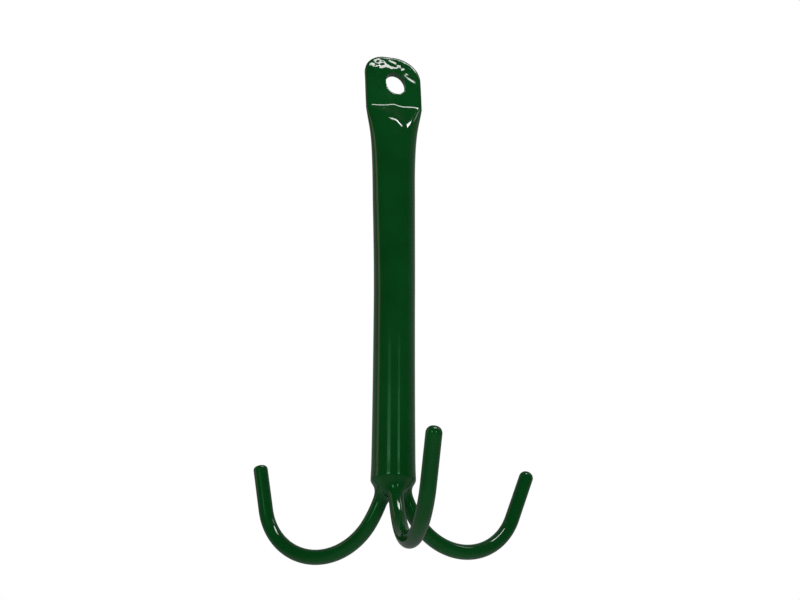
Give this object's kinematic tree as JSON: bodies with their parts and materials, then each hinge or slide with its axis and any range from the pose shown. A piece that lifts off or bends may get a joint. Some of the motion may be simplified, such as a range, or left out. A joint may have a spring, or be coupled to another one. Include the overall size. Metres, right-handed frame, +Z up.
{
  "type": "tack cleaning hook",
  "caption": "Plastic-dipped steel hanging hook: a tubular shank pressed flat and pierced at the top, with bent round prongs spreading from its mouth.",
  "frame": {"origin": "centre of the hanging eye's hole, halfway through the pressed end", "axes": "+Z up along the shank, -Y out of the eye's front face and the way the front prong points, +X to the right seen from the front"},
  "size_m": [0.1413, 0.1283, 0.2825],
  "materials": {
    "dipped_plastic": "gloss, smooth dip coating",
    "tube_steel": "mill finish, under the coating",
    "rod_steel": "drawn bright, under the coating",
    "weld_metal": "as welded, under the coating"
  },
  "bodies": {
    "root": {"shank_tube": "tube_steel", "prong_rod_front": "rod_steel", "prong_rod_left": "rod_steel", "prong_rod_right": "rod_steel", "weld_front": "weld_metal", "weld_left": "weld_metal", "weld_right": "weld_metal", "shank_coating": "dipped_plastic", "prong_coating_front": "dipped_plastic", "prong_coating_left": "dipped_plastic", "prong_coating_right": "dipped_plastic"}
  },
  "joints": []
}
